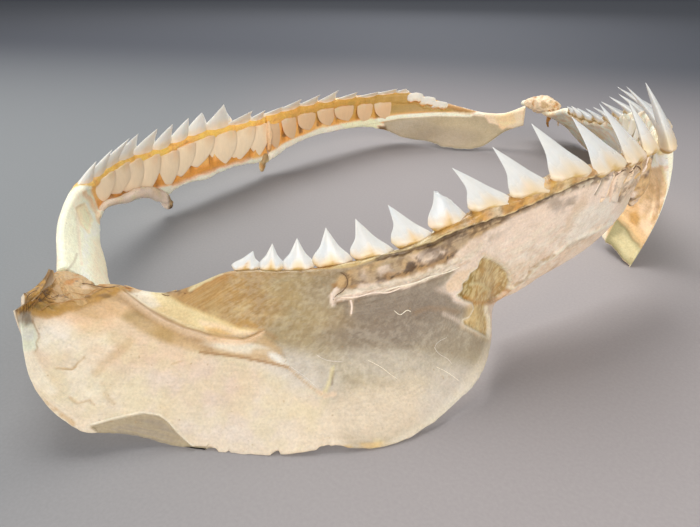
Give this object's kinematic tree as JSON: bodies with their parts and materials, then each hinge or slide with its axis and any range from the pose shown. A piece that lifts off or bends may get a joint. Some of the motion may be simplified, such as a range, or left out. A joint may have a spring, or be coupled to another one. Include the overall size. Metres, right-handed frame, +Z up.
{
  "type": "shark jaw",
  "caption": "Dried jaw of a large mackerel shark lying flat with its teeth up: a ring of pale cartilage plates with long curved teeth, joined by dark dried ligament.",
  "frame": {"origin": "centre of the jaw's bounding box seen from above, on the table that it lies on", "axes": "+Z up, to where the teeth point; +X towards the front of the lower jaw; +Y to the animal's left"},
  "size_m": [0.244, 0.428, 0.0853],
  "materials": {
    "cartilage": "dried cartilage, cream to amber, satin",
    "ligament": "dried ligament, brown, rough",
    "tooth": "enamel, white, smooth"
  },
  "bodies": {
    "root": {"lower_jaw_right": "cartilage", "lower_jaw_left": "cartilage", "upper_jaw_right": "cartilage", "upper_jaw_left": "cartilage", "lower_symphysis": "ligament", "upper_symphysis": "ligament", "joint_right": "ligament", "joint_left": "ligament"}
  },
  "joints": []
}
